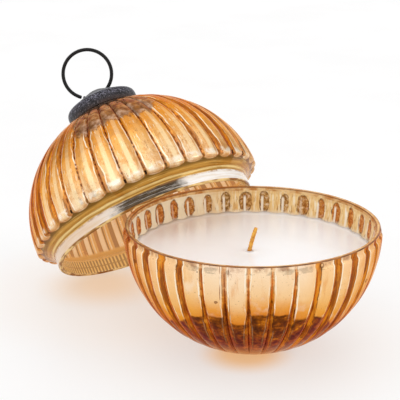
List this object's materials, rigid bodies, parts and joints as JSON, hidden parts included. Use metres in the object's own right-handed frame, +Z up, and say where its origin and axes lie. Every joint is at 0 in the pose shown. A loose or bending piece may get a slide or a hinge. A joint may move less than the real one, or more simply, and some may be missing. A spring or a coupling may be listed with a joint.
{
  "type": "ribbed glass ball candle",
  "caption": "Ribbed amber mercury-glass ball candle: a round bowl of wax with a wick, and the ball's capped, ringed upper half leaning on its rim.",
  "frame": {"origin": "centre of the bowl's flat foot, on the surface that the object stands on", "axes": "+Z up along the bowl's axis, +X along the way the wick leans, -Y towards a viewer in front; the lid leans at the back left"},
  "size_m": [0.1464, 0.1527, 0.1006],
  "materials": {
    "amber_glass": "ribbed, silvered from inside, amber stained, speckled",
    "candle_wax": "smooth paraffin wax",
    "waxed_cotton": "braided, waxed",
    "tinplate": "bright pressed sheet",
    "foam_pad": "soft adhesive foam",
    "dark_zinc": "oxidised, mottled, worn at the edges",
    "cement": "rough plaster cement",
    "black_iron": "blackened wire"
  },
  "bodies": {
    "bowl": {"bowl_glass": "amber_glass", "wax_fill": "candle_wax", "wick": "waxed_cotton", "wick_sustainer": "tinplate", "sustainer_pad": "foam_pad"},
    "lid": {"lid_glass": "amber_glass", "cap_shell": "dark_zinc", "cap_cement": "cement"},
    "ring": {"hanging_ring": "black_iron"}
  },
  "joints": [
    {"name": "lid_lift", "type": "slide", "parent": "bowl", "child": "lid", "axis": [0, 0, 1], "range_m": [0, 0.06]},
    {"name": "ring_swing", "type": "hinge", "parent": "lid", "child": "ring", "pos_m": [-0.06966, 0.08082, 0.0806], "axis": [0.9067, 0.1796, 0.3816], "range_deg": [-85, 44]}
  ]
}
